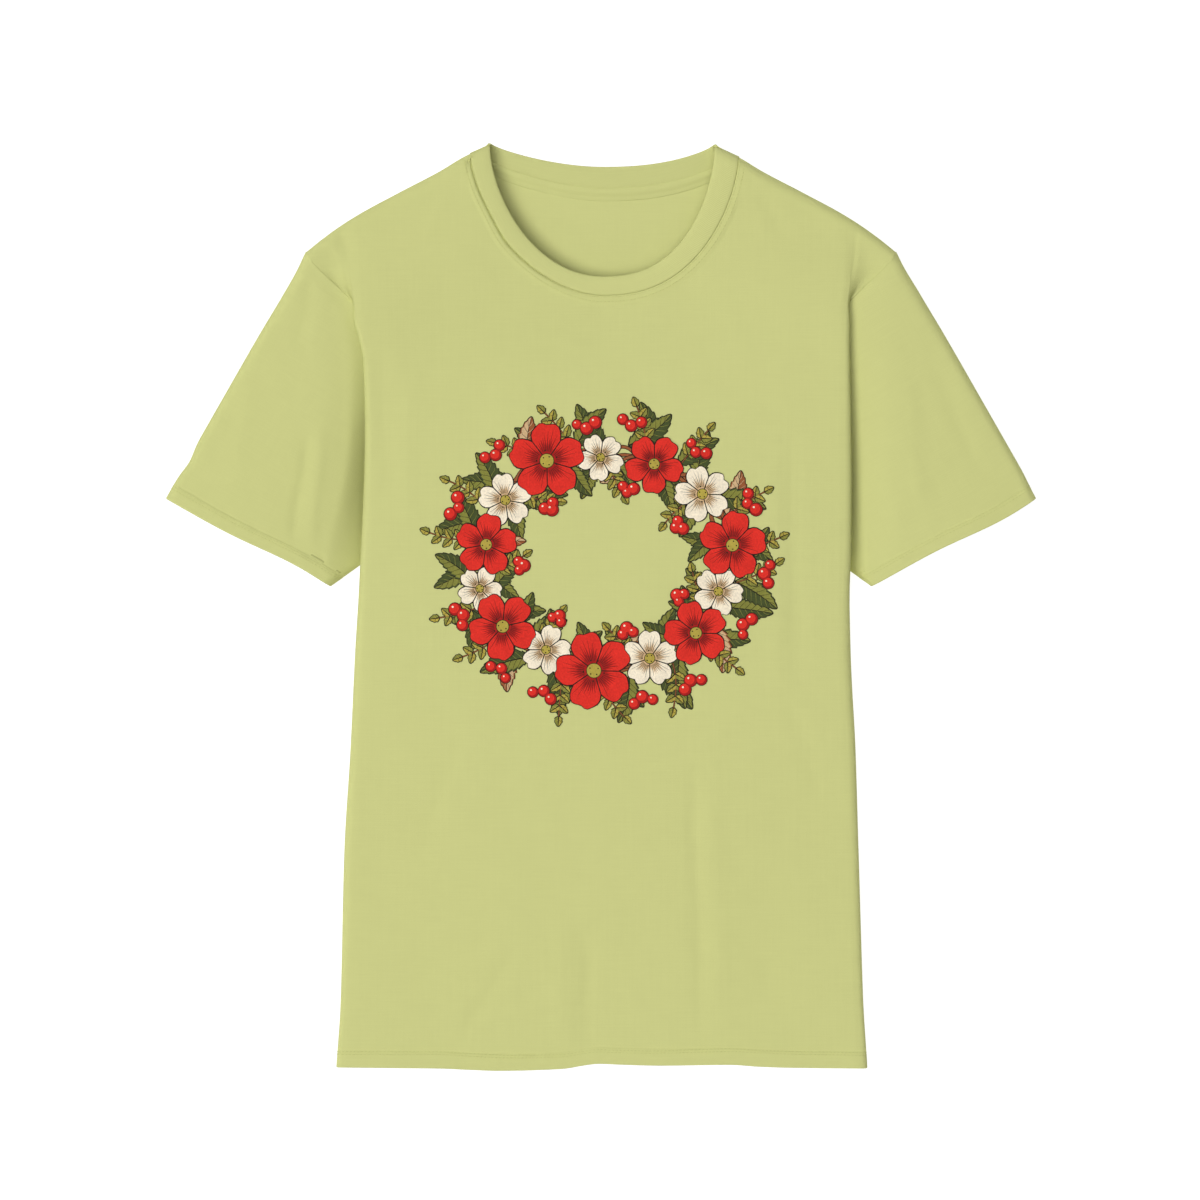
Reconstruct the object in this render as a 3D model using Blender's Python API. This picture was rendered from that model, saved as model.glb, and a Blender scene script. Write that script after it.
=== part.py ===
"""A short-sleeved crew-neck T-shirt in cotton jersey, laid on its back on a flat surface.

Metres, +Z up. X runs across the shirt, Y from the hem towards the neck and Z up out of the
front. The origin is the middle of the outline, on the surface. Left and right are as seen
from above. Each side of the body is tucked in like a bellows, so that the shirt lies narrower
than it is: the front folds back over the sleeves and over the tuck of the back.
"""

import bmesh
import bpy
import numpy as np

# Cloth
JERSEY = 0.0012
RIB = 0.0020
TAPE = 0.0008
GAP = 0.0003
SEAM_GAP = 0.0016
NECK_GAP = 0.0012
JERSEY_COLOUR = (0.60, 0.61, 0.25)
RIB_COLOUR = (0.58, 0.59, 0.24)
ROUGHNESS = 0.9

# Length, from the hem to the neck, and the outline's reach
HEM_Y = -0.3700
BACK_HEM_Y = -0.3670
LEFT_FOLD = [
    (-0.370, 0.2116), (-0.314, 0.2080), (-0.194, 0.2048), (-0.114, 0.2000), (-0.034, 0.1960),
    (0.018, 0.1928), (0.142, 0.1882), (0.196, 0.1900), (0.235, 0.1985), (0.300, 0.2045),
]
RIGHT_FOLD = [
    (-0.370, 0.2130), (-0.314, 0.2096), (-0.194, 0.2056), (-0.114, 0.2032), (-0.034, 0.1992),
    (0.010, 0.1984), (0.050, 0.1996), (0.102, 0.2000), (0.150, 0.1994), (0.214, 0.1984),
    (0.254, 0.2000), (0.300, 0.2045),
]
SHOULDER = [
    (0.000, 0.4120), (0.089, 0.3700), (0.110, 0.3605), (0.128, 0.3496), (0.160, 0.3328),
    (0.192, 0.3156), (0.208, 0.3056), (0.224, 0.2940), (0.2368, 0.2836),
]
SHOULDER_LEAN = 0.86
MID_SHOULDER = 0.1500
SHOULDER_POINT_Y = SHOULDER[-1][1]

# Armhole and side seam, as how far each lies from the middle at a height up the shirt
SEAM = [
    (-0.370, 0.162), (-0.200, 0.155), (-0.030, 0.149), (0.065, 0.150), (0.110, 0.153),
    (0.160, 0.160), (0.205, 0.172), (0.234, 0.188), (0.254, 0.2086), (0.274, 0.2290),
    (0.2836, 0.2368),
]
ARMPIT_Y = 0.065
BACK_TUCK_TOP = 0.055
FOLD_OPENS = (0.225, 0.265)
ARMHOLE_MARGIN = 0.0100

# Where a panel's middle meets its side strip at the shoulder, and how far the strip's rows drop
# from there on their way out along the shoulder: by how much, from which height and over what
FRONT_CORNER = 0.2025
FRONT_STRIP_DROP = (0.0290, 0.150, 0.120)
BACK_CORNER = 0.2268
BACK_STRIP_DROP = (0.0090, 0.200, 0.080)

# How high the cloth lies
EDGE_ROLL = 0.0082
FRONT_EDGE_Z = 0.0091
SLEEVE_ROLL = 0.00865
SIDE_TOP = [
    (-0.370, 0.0155), (-0.200, 0.0240), (-0.050, 0.0270), (0.050, 0.0305), (0.120, 0.0300),
    (0.200, 0.0278), (0.300, 0.0265),
]
TUCK_TOP = [(-0.370, 0.0080), (-0.200, 0.0120), (-0.040, 0.0128), (0.040, 0.0182), (0.300, 0.0182)]
CROWN = [
    (-0.370, 0.0030), (-0.150, 0.0050), (0.080, 0.0045), (0.180, 0.0000), (0.250, -0.0072),
    (0.370, -0.0100),
]
SHOULDER_SLOPE = 0.090
LEAST_ROLL = 0.0020

# The valley between the front and the sleeve, under the shoulder, and how deep it is
VALLEY = 0.0060
VALLEY_START = 0.0040
VALLEY_FULL = 0.0340

# Neck: half the width of the seam and of the band's free edge. Each curve is how far up the
# shirt it dips in the middle, then its powers across on the left and the right, and down.
NECK_MIDDLE = 0.0010
SEAM_HALF = 0.1090
FREE_HALF = 0.0900
FRONT_SEAM = (0.2491, 1.80, 2.40, 1.60)
FRONT_FREE = (0.2644, 2.00, 2.50, 1.70)
BACK_SEAM = (0.3345, 1.70, 2.40, 1.00)
BACK_FREE = (0.3530, 1.80, 2.40, 1.00)
BACK_BAND_LIFT = 0.0030
NECK_SHARE = 0.63

# Sleeves
SLEEVE_TOP = [
    (0.0880, 0.3480), (0.1092, 0.3360), (0.1652, 0.3040), (0.2208, 0.2720), (0.2475, 0.2560),
    (0.2700, 0.2432), (0.2836, 0.2368),
]
SLEEVE_TIP = (0.3480, 0.0880)
SLEEVE_LOW = (0.2160, 0.0172)
SLEEVE_HEM_ROLL = 0.0070
SLEEVE_CROWN = 0.0050
SLEEVE_CROWN_START = 0.0400
ARMHOLE_DEPTH = 0.2350
CUFF_WIDTH = 0.1500

# Tape over the back neck seam: its edges below the seam, and the turns of the neck it spans
TAPE_EDGES = (0.0090, 0.0010)
TAPE_TURNS = (150, 30)
TAPE_COLUMNS = 13

# How finely each sheet is divided
ROLL_ANGLES = np.radians([0, 30, 60, 90])
NECK_TURNS = np.radians([0, 4, 9, 16, 26, 38, 51, 64, 77, 90])
SHOULDER_COLUMNS = 3
STRIP_SHARES = np.array([0.10, 0.20, 0.30, 0.41, 0.65, 0.85, 1.0])
LOW_ROWS = 7
ARMHOLE_ROWS = 12
SLEEVE_RINGS = 8
SLEEVE_COLUMNS = 13
BAND_COLUMNS = 3


def smooth(t):
    """Eases from 0 to 1, and holds past either end."""
    t = np.clip(t, 0.0, 1.0)
    return t * t * (3.0 - 2.0 * t)


def mix(a, b, share):
    return a + (b - a) * share


def through(points, at):
    """The curve through a few (place, value) points, with no overshoot between them."""
    places, values = np.array(points).T
    steps = np.diff(values) / np.diff(places)
    same_way = steps[:-1] * steps[1:] > 0
    total = np.where(same_way, steps[:-1] + steps[1:], 1.0)
    inner = np.where(same_way, 2.0 * steps[:-1] * steps[1:] / total, 0.0)
    slopes = np.concatenate([steps[:1], inner, steps[-1:]])
    i = np.clip(np.searchsorted(places, at) - 1, 0, len(places) - 2)
    span = places[i + 1] - places[i]
    t = np.clip((at - places[i]) / span, 0.0, 1.0)
    bend = span * t * (1.0 - t) * (slopes[i] * (1.0 - t) - slopes[i + 1] * t)
    return mix(values[i], values[i + 1], smooth(t)) + bend


def shoulder_y(x):
    return through(SHOULDER, np.abs(x))


def from_shoulder(x, y):
    """How far a point lies inside the shoulder's folded edge."""
    return np.maximum(SHOULDER_LEAN * (shoulder_y(x) - y), 0.0)


def rolled(distance, radius):
    """How far the cloth turns up or down from a fold's middle, this far inside the fold."""
    left = np.maximum(radius - distance, 0.0)
    return np.sqrt(np.maximum(radius**2 - left**2, 0.0))


def fold_x(y, side):
    return through(RIGHT_FOLD if side > 0 else LEFT_FOLD, y)


def shoulder_roll(inside):
    """The height of the front this far inside the shoulder's fold, before it rises further."""
    return FRONT_EDGE_Z + rolled(inside, EDGE_ROLL)


def side_top(y, side):
    """The height of the front at the start of its side roll."""
    inside = from_shoulder(fold_x(y, side), y)
    rise = through(SIDE_TOP, y) - EDGE_ROLL - FRONT_EDGE_Z
    return shoulder_roll(inside) + rise * smooth(inside / SHOULDER_SLOPE)


def front_roll(y, side):
    """The radius of the front's side roll."""
    return np.maximum((side_top(y, side) - through(TUCK_TOP, y)) / 2, LEAST_ROLL)


def front_edge(y, side):
    """Where the front's side roll starts."""
    return fold_x(y, side) - front_roll(y, side)


def front_height(x, y):
    """The height of the front's outer face between its side rolls."""
    inside = from_shoulder(x, y)
    reach = np.where(x > 0, front_edge(y, 1), front_edge(y, -1))
    crown = through(CROWN, y) * np.maximum(1.0 - (x / reach) ** 2, 0.0)
    rise = through(SIDE_TOP, y) + crown - EDGE_ROLL - FRONT_EDGE_Z
    return shoulder_roll(inside) + rise * smooth(inside / SHOULDER_SLOPE)


def back_height(x, y):
    """The height of the back's outer face, which lies on the surface inside its edges."""
    return EDGE_ROLL - rolled(from_shoulder(x, y), EDGE_ROLL)


def neck_point(turn, half, curve, gap=0.0):
    """A point of a neck curve, from the right shoulder (0) round the middle to the left (pi)."""
    low, left, right, down = curve
    side = np.sign(np.cos(turn))
    along = np.abs(np.cos(turn)) ** (2 / np.where(side < 0, left, right)) * side
    top = shoulder_y(NECK_MIDDLE + half * side)
    y = mix(top, low - gap, np.sin(turn) ** (2 / down))
    return NECK_MIDDLE + (half + gap) * along, y


def top_edge(share, curve, corner):
    """A panel's top edge: left corner, left shoulder, neck seam, right shoulder, right corner."""
    side = np.where(share < 0.5, -1.0, 1.0)
    across = np.abs(2 * share - 1)
    turn = np.pi / 2 * (1 - side * np.clip(across / NECK_SHARE, 0, 1))
    neck_x, neck_y = neck_point(turn, SEAM_HALF, curve, NECK_GAP)
    along = np.clip((across - NECK_SHARE) / (1 - NECK_SHARE), 0, 1)
    shoulder_x = mix(neck_x, side * corner, along)
    return shoulder_x, np.where(along > 0, shoulder_y(shoulder_x), neck_y)


def panel_plan(u, v, hem_y, neck, side_edge, corner):
    """The place in plan of the panel's grid: u across, v from the hem to the top edge."""
    top_x, top_y = top_edge(u, neck, corner)
    side_y = mix(hem_y, shoulder_y(np.array(corner)), v)
    share = mix(u, (top_x / corner + 1) / 2, v)
    x = mix(-side_edge(side_y, -1), side_edge(side_y, 1), share)
    return x, mix(hem_y, top_y, v)


def back_roll(y):
    return (through(TUCK_TOP, y) - GAP) / 2


def back_open(y):
    """0 where the back's side is tucked in, 1 where it lies open as the armhole's edge."""
    return smooth(y / BACK_TUCK_TOP)


def back_edge(y, side):
    tucked = fold_x(y, side) - back_roll(y)
    armhole = through(SEAM, y) - ARMHOLE_MARGIN
    return mix(tucked, armhole, back_open(y))


def tucked_strip(share, edge, radius, seam, low, high):
    """A side roll from one height to another, then the tuck that runs in to the seam."""
    tuck = np.maximum(edge - seam, 0.0)
    arc = np.pi * radius
    along = share * (arc + tuck)
    angle = np.minimum(along, arc) / radius
    x = edge + radius * np.sin(angle) - np.maximum(along - arc, 0.0)
    return x, mix(low, high, (1 - np.cos(angle)) / 2)


def dropped(y, share, drop):
    """The height of a side strip's row, which drops on its way out along the shoulder."""
    most, start, span = drop
    return y - most * smooth((y - start) / span) * share


def front_strip(share, y, side):
    """One side of the front, from its roll to the armhole or side seam."""
    y = dropped(y, share, FRONT_STRIP_DROP)
    edge = front_edge(y, side)
    seam = through(SEAM, y) - SEAM_GAP / 2
    top = side_top(y, side)
    tuck_x, tuck_z = tucked_strip(share, edge, front_roll(y, side), seam, top, through(TUCK_TOP, y))
    open_x = mix(edge, seam, share)
    inside = from_shoulder(open_x, y)
    open_z = mix(np.minimum(top, front_height(open_x, y)), shoulder_roll(inside), smooth(share))
    tucked = smooth((FOLD_OPENS[1] - y) / (FOLD_OPENS[1] - FOLD_OPENS[0]))
    deep = smooth((inside - VALLEY_START) / (VALLEY_FULL - VALLEY_START)) * (1 - tucked)
    open_z = open_z - VALLEY * deep * np.sin(np.pi * share)
    return side * mix(open_x, tuck_x, tucked), y, mix(open_z, tuck_z, tucked)


def back_strip(share, y, side):
    """One side of the back: tucked below the armpit, flat out to the seam above it."""
    y = dropped(y, share, BACK_STRIP_DROP)
    edge = back_edge(y, side)
    seam = through(SEAM, y) - SEAM_GAP / 2
    tuck_top = 2 * back_roll(y)
    tuck_x, tuck_z = tucked_strip(share, edge, back_roll(y), seam, 0.0, tuck_top)
    flat_x = mix(edge, seam, share)
    opened = back_open(y)
    x = mix(tuck_x, flat_x, opened)
    return side * x, y, mix(tuck_z, back_height(flat_x, y), opened)


def panel_columns():
    """Shares across a panel: the neck's columns, with those of the shoulders on either side."""
    neck = NECK_SHARE * (1 - NECK_TURNS / (np.pi / 2))
    shoulder = np.linspace(1, NECK_SHARE, SHOULDER_COLUMNS, endpoint=False)
    half = np.concatenate([shoulder, neck]) / 2
    return np.concatenate([0.5 - half, 0.5 + half[-2::-1]])


def panel_rows():
    """Shares from the hem (0) to the top edge (1), closest round the shoulder's roll."""
    length = shoulder_y(np.array(MID_SHOULDER)) - HEM_Y
    armpit = (ARMPIT_Y - HEM_Y) / length
    last = 1 - EDGE_ROLL * (1 - np.cos(ROLL_ANGLES[::-1])) / SHOULDER_LEAN / length
    low = np.linspace(0, armpit, LOW_ROWS, endpoint=False)
    return np.concatenate([low, np.linspace(armpit, last[0], ARMHOLE_ROWS, endpoint=False), last])


def panel_grid(plan, height, strip):
    """All of a panel: its left strip, its middle and its right strip, as rows of points."""
    x, y = plan(panel_columns()[None, :], panel_rows()[:, None])
    middle = np.stack([x, y, height(x, y)], axis=-1)
    left = side_columns(strip, x[:, :1], y[:, :1], -1.0)[:, ::-1]
    right = side_columns(strip, x[:, -1:], y[:, -1:], 1.0)
    return np.concatenate([left, middle, right], axis=1)


def side_columns(strip, start_x, start_y, side):
    """A side strip's columns, from where the panel's middle ends out to its seam."""
    shares = STRIP_SHARES[None, :]
    x, y, z = strip(shares, start_y, side)
    shift = start_x - strip(0.0, start_y, side)[0]
    return np.stack([x + shift * (1 - shares), y, z], axis=-1)


def front_grid():
    def plan(u, v):
        return panel_plan(u, v, HEM_Y, FRONT_SEAM, front_edge, FRONT_CORNER)

    return panel_grid(plan, front_height, front_strip)


def back_grid():
    def plan(u, v):
        return panel_plan(u, v, BACK_HEM_Y, BACK_SEAM, back_edge, BACK_CORNER)

    return panel_grid(plan, back_height, back_strip)


def sleeve_plan(along, across, side):
    """The sleeve in plan: along from armhole to hem, across from top fold to underarm fold."""
    top_y = mix(SHOULDER_POINT_Y, SLEEVE_TIP[1], along)
    top_x = through(SLEEVE_TOP, top_y)
    seam_y = mix(SHOULDER_POINT_Y, ARMPIT_Y, across)
    seam_x = through(SEAM, seam_y) + SEAM_GAP / 2
    hem_x = mix(SLEEVE_TIP[0], SLEEVE_LOW[0], across)
    hem_y = mix(SLEEVE_TIP[1], SLEEVE_LOW[1], across)
    low_x = mix(seam_x[..., -1:], SLEEVE_LOW[0], along)
    low_y = mix(ARMPIT_Y, SLEEVE_LOW[1], along)
    corner_x = mix(mix(seam_x[..., :1], SLEEVE_TIP[0], along), low_x, across)
    corner_y = mix(top_y, low_y, across)
    gap = SEAM_GAP / 2 * (1 - along)
    x = mix(seam_x, hem_x, along) + mix(top_x + gap, low_x, across) - corner_x
    y = mix(seam_y, hem_y, along) + mix(top_y, low_y, across) - corner_y
    return side * x, y


def sleeve_grid(side):
    """Rings from the armhole to the hem, each going out over the front and home under the back."""
    along = np.linspace(0, 1, SLEEVE_RINGS)[:, None]
    radius = mix(SLEEVE_ROLL, SLEEVE_HEM_ROLL, along)
    width = mix(ARMHOLE_DEPTH, CUFF_WIDTH, along)
    start = radius * (1 - np.cos(ROLL_ANGLES[None, :])) / width
    middle = mix(start[:, -1:], 1 - start[:, -1:], np.linspace(0, 1, SLEEVE_COLUMNS)[None, 1:-1])
    over = np.concatenate([start, middle, 1 - start[:, ::-1]], axis=1)
    x, y = sleeve_plan(along, np.clip(over, 0, 1), side)
    edge = np.minimum(over, 1 - over) * width
    outside = np.abs(x) - fold_x(y, side)
    crown = SLEEVE_CROWN * np.sin(np.pi * over) * smooth(outside / SLEEVE_CROWN_START)
    front = radius + rolled(edge, radius) + crown
    back = radius - rolled(edge, radius)
    over_points = np.stack([x, y, front], axis=-1)
    under_points = np.stack([x, y, back], axis=-1)[:, -2:0:-1]
    return np.concatenate([over_points, under_points], axis=1)


def neckband_grid():
    """The band as a ring, in columns from the sewn edge to the free one."""
    front_turn = np.concatenate([NECK_TURNS, np.pi - NECK_TURNS[-2::-1]])
    back_turn = front_turn[-2:0:-1]
    front = band_side(front_turn, FRONT_SEAM, FRONT_FREE, front_height, 0.0)
    back = band_side(back_turn, BACK_SEAM, BACK_FREE, back_height, BACK_BAND_LIFT)
    return np.concatenate([front, back])


def band_side(turn, seam, free, height, lift):
    seam_x, seam_y = neck_point(turn, SEAM_HALF, seam)
    free_x, free_y = neck_point(turn, FREE_HALF, free)
    share = np.linspace(0, 1, BAND_COLUMNS)[None, :]
    x = mix(seam_x[:, None], free_x[:, None], share)
    y = mix(seam_y[:, None], free_y[:, None], share)
    z = height(x, y) + lift * share * np.sin(turn)[:, None]
    return np.stack([x, y, z], axis=-1)


def tape_grid():
    """The tape over the back neck seam, on the inner face of the back."""
    turn = np.radians(np.linspace(*TAPE_TURNS, TAPE_COLUMNS))
    seam_x, seam_y = neck_point(turn, SEAM_HALF, BACK_SEAM)
    below = np.array(TAPE_EDGES)[:, None]
    x = np.broadcast_to(seam_x, (2, len(turn)))
    y = seam_y - below
    return np.stack([x, y, back_height(x, y) + JERSEY + GAP], axis=-1)


def cloth_material(name, colour):
    material = bpy.data.materials.new(name)
    material.use_nodes = True
    shader = material.node_tree.nodes["Principled BSDF"]
    shader.inputs["Base Color"].default_value = (*colour, 1.0)
    shader.inputs["Roughness"].default_value = ROUGHNESS
    shader.inputs["Metallic"].default_value = 0.0
    return material


def make_sheet(name, grid, thickness, material, ring=False, loops=False, turned=False):
    """A sheet of cloth through a grid of points. Its outer face is the grid, and it is thickened
    inwards. The rows close into a ring, or each row into a loop, where the cloth does."""
    rows, columns = grid.shape[:2]
    shape = bmesh.new()
    points = [[shape.verts.new(point) for point in row] for row in grid]
    for r in range(rows if ring else rows - 1):
        for c in range(columns if loops else columns - 1):
            below, above = points[r], points[(r + 1) % rows]
            corners = [below[c], below[(c + 1) % columns], above[(c + 1) % columns], above[c]]
            shape.faces.new(corners[::-1] if turned else corners)
    mesh = bpy.data.meshes.new(name)
    shape.to_mesh(mesh)
    shape.free()
    mesh.shade_smooth()
    mesh.materials.append(material)
    sheet = bpy.data.objects.new(name, mesh)
    bpy.context.scene.collection.objects.link(sheet)
    sheet.modifiers.new("Split alike on both faces", "TRIANGULATE")
    thicken = sheet.modifiers.new("Thickness", "SOLIDIFY")
    thicken.thickness = thickness
    thicken.offset = -1.0
    return sheet


def clear_scene():
    for old in list(bpy.data.objects):
        bpy.data.objects.remove(old)


def build_shirt():
    shirt = bpy.data.objects.new("shirt", None)
    bpy.context.scene.collection.objects.link(shirt)
    jersey = cloth_material("pale green jersey", JERSEY_COLOUR)
    rib = cloth_material("pale green rib", RIB_COLOUR)
    pieces = [
        make_sheet("front_panel", front_grid(), JERSEY, jersey),
        make_sheet("back_panel", back_grid(), JERSEY, jersey, turned=True),
        make_sheet("sleeve_left", sleeve_grid(-1), JERSEY, jersey, loops=True, turned=True),
        make_sheet("sleeve_right", sleeve_grid(1), JERSEY, jersey, loops=True),
        make_sheet("neckband", neckband_grid(), RIB, rib, ring=True),
        make_sheet("neck_tape", tape_grid(), TAPE, jersey, turned=True),
    ]
    for piece in pieces:
        piece.parent = shirt


clear_scene()
build_shirt()
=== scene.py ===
import math

import bpy
import numpy as np
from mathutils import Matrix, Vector
from mathutils.bvhtree import BVHTree


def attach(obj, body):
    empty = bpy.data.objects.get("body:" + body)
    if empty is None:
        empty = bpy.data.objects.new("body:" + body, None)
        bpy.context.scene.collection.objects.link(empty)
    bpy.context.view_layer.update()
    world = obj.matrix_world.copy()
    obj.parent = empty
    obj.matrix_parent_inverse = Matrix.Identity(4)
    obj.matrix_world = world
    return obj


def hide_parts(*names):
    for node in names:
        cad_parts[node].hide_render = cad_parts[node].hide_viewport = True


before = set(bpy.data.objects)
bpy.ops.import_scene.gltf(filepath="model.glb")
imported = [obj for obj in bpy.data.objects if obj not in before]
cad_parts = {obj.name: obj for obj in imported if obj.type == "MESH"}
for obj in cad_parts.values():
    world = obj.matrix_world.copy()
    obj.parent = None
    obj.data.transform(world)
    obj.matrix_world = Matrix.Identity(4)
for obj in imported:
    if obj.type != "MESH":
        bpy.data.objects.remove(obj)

# A short-sleeved crew-neck T-shirt in pale green cotton jersey, laid on its back. Metres, +Z up.
# X runs across the shirt, Y from the hem towards the neck. Each side of the body is tucked in
# like a bellows: the front folds back over the sleeves and over the tuck of the back.


def mm(values):
    """Metres from millimetres."""
    return np.array(values) / 1000


# Cloth
JERSEY = 0.0007
RIB = 0.0007
TAPE = 0.0005
GAP = 0.0003
SEAM_GAP = 0.00012
NECK_GAP = 0.0001

# The hems and the outline. The front's hem waves a little.
FRONT_HEM = mm([
    (-213, -367.6), (-130, -368.2), (-105, -369.2), (-81, -370), (-33, -368.6), (-1, -364.4),
    (15, -365), (47, -365.8), (103, -365.2), (127, -366.8), (159, -367.8), (213, -368.4),
])
BACK_HEM = mm([(-213, -365), (213, -365)])
LOWEST_HEM = -0.37
LEFT_FOLD = mm([
    (-370, 211.6), (-314, 208), (-194, 204.8), (-114, 200), (-34, 196), (18, 192.8), (142, 188.2),
    (196, 190), (235, 198.5), (300, 204.5),
])
RIGHT_FOLD = mm([
    (-370, 213), (-314, 209.6), (-194, 205.6), (-114, 203.2), (-34, 199.2), (10, 198.4),
    (50, 199.6), (102, 200), (150, 199.4), (214, 198.4), (254, 200), (300, 204.5),
])
SHOULDER = mm([
    (0, 412), (89, 370), (110, 360.5), (128, 349.6), (160, 332.8), (192, 315.6), (208, 305.6),
    (224, 294), (236.8, 283.6),
])
SHOULDER_LEAN = 0.86
MID_SHOULDER = 0.15
SHOULDER_POINT_Y = SHOULDER[-1][1]

# Armhole and side seam, as how far each lies from the middle at a height up the shirt
SEAM = mm([
    (-370, 162), (-200, 155), (-30, 149), (65, 150), (110, 153), (160, 160), (205, 172),
    (234, 188), (254, 208.6), (274, 229), (283.6, 236.8),
])
ARMPIT_Y = 0.065
BACK_TUCK_TOP = 0.055
FOLD_OPENS = (0.265, 0.225)
ARMHOLE_MARGIN = 0.01

# Where a panel's middle meets its side strip at the shoulder. The strip's rows drop on their way
# out: how far, and between which heights. The front's highest rows follow the shoulder's edge.
FRONT_CORNER = 0.2025
FRONT_STRIP_DROP = (0.029, 0.15, 0.27)
FOLLOWS_SHOULDER = 0.035
BACK_CORNER = 0.2268
BACK_STRIP_DROP = (0.009, 0.2, 0.28)

# How high the cloth lies
EDGE_ROLL = 0.0082
FRONT_EDGE_Z = 0.0084
SLEEVE_ROLL = 0.00865
SIDE_TOP = mm([
    (-370, 15.5), (-200, 24), (-50, 27), (50, 30.5), (120, 30), (200, 27.8), (300, 26.5),
])
TUCK_TOP = mm([(-370, 8), (-200, 12), (-40, 12.8), (40, 18.2), (300, 18.2)])
CROWN = mm([(-370, 3), (-150, 5), (80, 4.5), (180, 0), (250, -7.2), (370, -10)])
SHOULDER_SLOPE = 0.09
LEAST_ROLL = 0.002

# The valley between the front and the sleeve, under the shoulder, and how deep it is on each side
VALLEY = {-1: 0.0025, 1: 0.0022}
VALLEY_START = 0.004
VALLEY_FULL = 0.034

# Neck: each curve is how far up the shirt it dips, its powers across on the left and the right and
# down, and how far in its left end is drawn, which starts and ends at two shares of its reach.
NECK_MIDDLE = 0.001
DRAWN_SHARES = (0.7, 0.9)
SEAM_HALF = 0.109
FREE_HALF = 0.09
FRONT_SEAM = (0.2491, 1.8, 2.4, 1.6, 0.0036)
FRONT_FREE = (0.2644, 2.0, 2.5, 1.7, 0.0)
BACK_SEAM = (0.3345, 1.7, 2.4, 1.0, 0.0036)
BACK_FREE = (0.353, 1.8, 2.4, 1.0, 0.0)
BACK_BAND_LIFT = 0.003
NECK_SHARE = 0.63

# Sleeves
SLEEVE_TOP = mm([
    (88, 348), (109.2, 336), (165.2, 304), (220.8, 272), (247.5, 256), (270, 243.2),
    (283.6, 236.8),
])
SLEEVE_TIP = (0.348, 0.088)
SLEEVE_LOW = (0.216, 0.0172)
SLEEVE_HEM_ROLL = 0.007
SLEEVE_CROWN = 0.005
SLEEVE_CROWN_START = 0.04
ARMHOLE_DEPTH = 0.235
CUFF_WIDTH = 0.15

# Tape over the back neck seam: how far below the seam each row lies and how high it rides over
# the doubled cloth there, and the turns of the neck that it spans
TAPE_ROWS = mm([
    (8.8, -0.3), (8.4, 0), (6.2, 0.1), (4.6, 0.6), (3.4, 1.3), (2.2, 1.7), (0.8, 1.9), (-0.8, 1.9),
    (-1.8, 1.6), (-2.2, 1),
])
TAPE_TURNS = (158, 22)

# Hems: the fold's radius, how far the cloth is turned up, its rows of stitches and how deep each is
# pressed, how much higher the doubled cloth lies and where that ends, and each sleeve's own values
HEM_FOLD = 0.0009
HEM_DEPTH = 0.0145
HEM_STITCHES = (0.0086, 0.0108)
HEM_PRESS = (0.3, 1.0)
HEM_LIFT = 0.0007
HEM_STEP = (0.0123, 0.0113)
SLEEVE_PUCKERS = {-1: 0.00034, 1: 0.00018}
SLEEVE_GROOVE = {-1: 0.0003, 1: 0.00005}
SLEEVE_LIFT = {-1: 0.0007, 1: 0.0003}

# How far each sleeve's hem waves down in its outer half and up in its inner half. The left
# sleeve's upper edge is drawn in, this far from the hem, this widely and this much. The right
# sleeve's is let out: how far, and over which shares along it this starts and ends. Both fade out
# over a share across the sleeve. Then the ways in plan along the right sleeve and across it.
SLEEVE_HEM_WAVE = {-1: (0.0005, 0.0022), 1: (0.0024, 0.0004)}
SLEEVE_DENT = (0.034, 0.011, 0.002)
SLEEVE_LET_OUT = (0.0012, 1 / 6, 1 / 8)
SLEEVE_EDGE = 1 / 3
SLEEVE_OUT = (0.47, -0.88)
SLEEVE_ACROSS = (-0.88, -0.38)

# How far each sleeve lies lower at its seam, and between which distances from it, and how far down
# each row of a seam's lip lies
SEAM_STEP = {-1: -0.0009, 1: -0.001}
SEAM_STEP_RUN = (0.012, 0.002)
SEAM_LIP = (0.000625, 0.0025)

# Soft folds of the front as they show from above: where each starts, where it ends, its width
# and its height
BODY_FOLDS = mm([
    (72, -105, 80, -360, 6, -0.8), (88, -110, 96, -350, 8, 0.6), (150, -70, 176, -160, 6, -0.7),
    (-109, -86, -150, -218, 6, -0.6), (-65, -266, -117, -354, 6, -0.6),
    (-11, -250, -11, -362, 6.5, -0.7), (-33, -230, -33, -360, 9, 0.5),
    (-179, 225, -168, 80, 5.5, -0.8), (-152, 200, -156, 60, 7, 0.6), (150, 160, 156, -70, 7, -0.9),
    (136, 120, 140, -100, 8, 0.6), (-208, 308, -197.5, 258, 4.5, -1.2),
    (204.5, 302.5, 198.5, 256, 2.3, -1), (-120, 345, -140, 290, 5, 0.6),
    (125, 340, 148, 290, 5, -0.6),
])
SLEEVE_FOLDS = mm([
    (-230, 270, -243, 200, 5, -1.2), (-233, 145, -247, 45, 4.2, -1.3),
    (-223, 150, -233, 40, 5, 0.9), (-280, 190, -295, 80, 8, 0.6), (-222, 46, -227, 20, 4, -0.5),
    (261, 205, 308, 95, 6.5, -0.6), (240, 200, 256, 70, 8, 0.7),
])

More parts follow.
